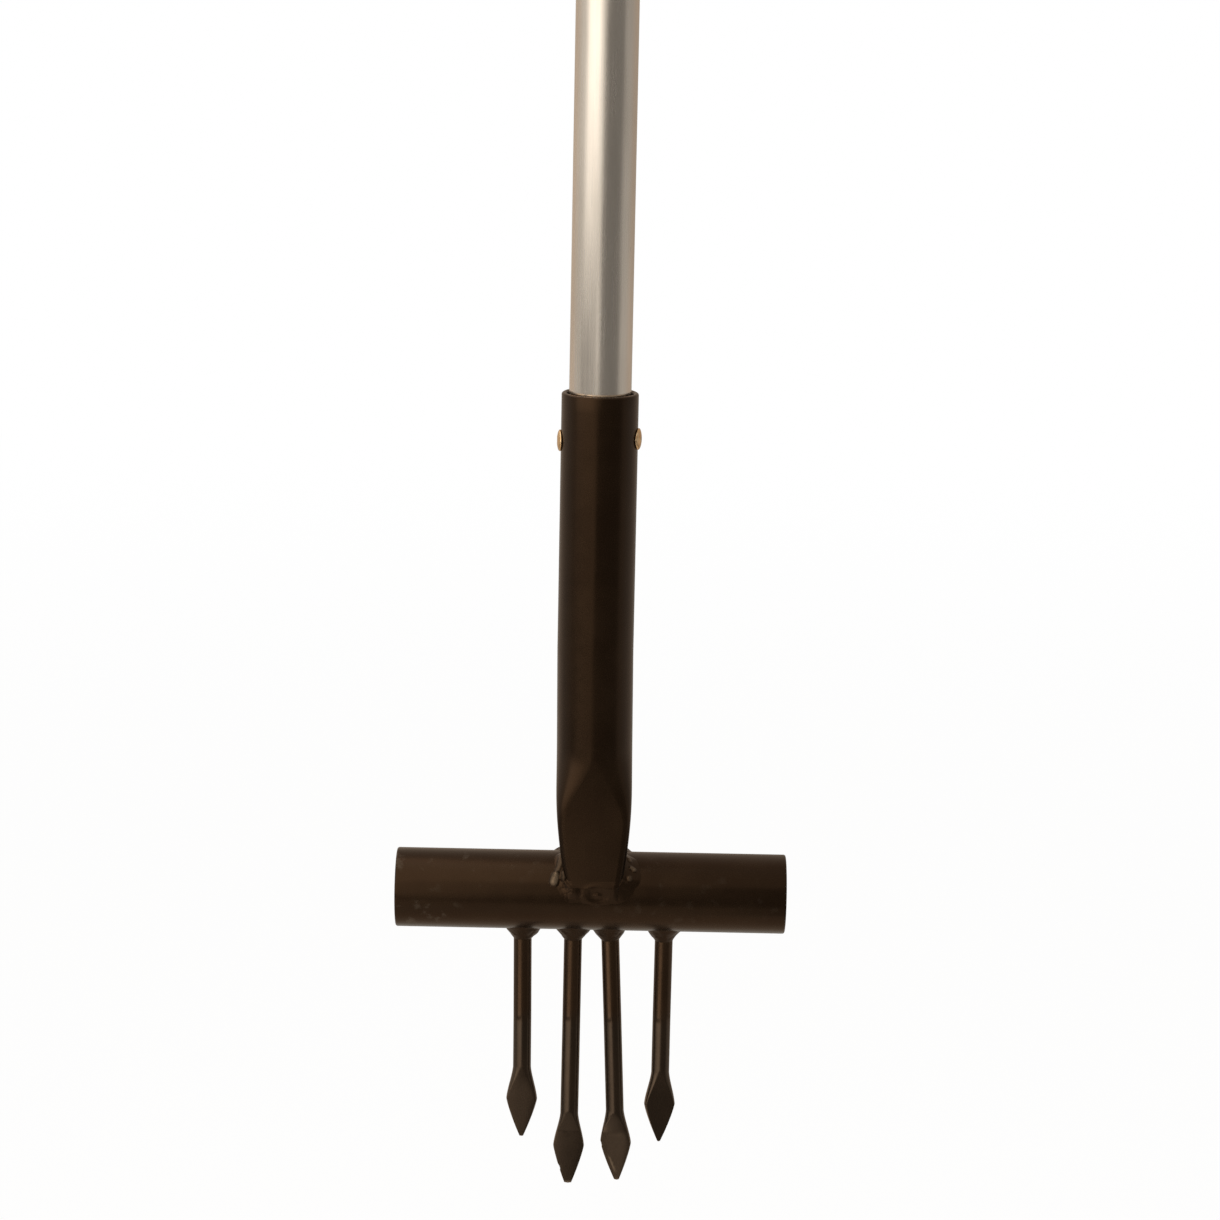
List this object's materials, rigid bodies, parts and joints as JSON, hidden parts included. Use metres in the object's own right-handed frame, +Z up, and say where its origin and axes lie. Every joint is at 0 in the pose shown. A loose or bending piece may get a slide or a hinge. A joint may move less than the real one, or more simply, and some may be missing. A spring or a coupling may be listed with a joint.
{
  "type": "ragwort fork",
  "caption": "Long-handled weeding fork: aluminium shaft in a riveted steel socket, welded over a tubular fulcrum bar with forward-kinked, spear-pointed prongs.",
  "frame": {"origin": "on the line of the shaft at the underside of the fulcrum bar, which is the ground line when the prongs are in the soil", "axes": "+Z up the shaft to the grip, +X along the fulcrum bar to the right of someone facing the front, -Y to the front, where the prongs lean"},
  "size_m": [0.1748, 0.0402, 1.2015],
  "materials": {
    "drawn_aluminium": "drawn, satin, lightly scuffed",
    "grip_rubber": "moulded, matt",
    "black_coat": "satin black coating on steel",
    "gold_plating": "yellow zinc plated steel",
    "bare_steel": "bare, broken face"
  },
  "bodies": {
    "root": {"shaft_tube": "drawn_aluminium", "hand_grip": "grip_rubber", "socket_tube": "black_coat", "fulcrum_bar": "black_coat", "socket_weld_front": "black_coat", "socket_weld_back": "black_coat", "prong_outer_left": "black_coat", "prong_inner_left": "black_coat", "prong_inner_right": "black_coat", "prong_outer_right": "black_coat", "prong_weld_outer_left": "black_coat", "prong_weld_inner_left": "black_coat", "prong_weld_inner_right": "black_coat", "prong_weld_outer_right": "black_coat", "rivet_left": "gold_plating", "rivet_right": "gold_plating", "rivet_mandrel_left": "bare_steel", "rivet_mandrel_right": "bare_steel"}
  },
  "joints": []
}
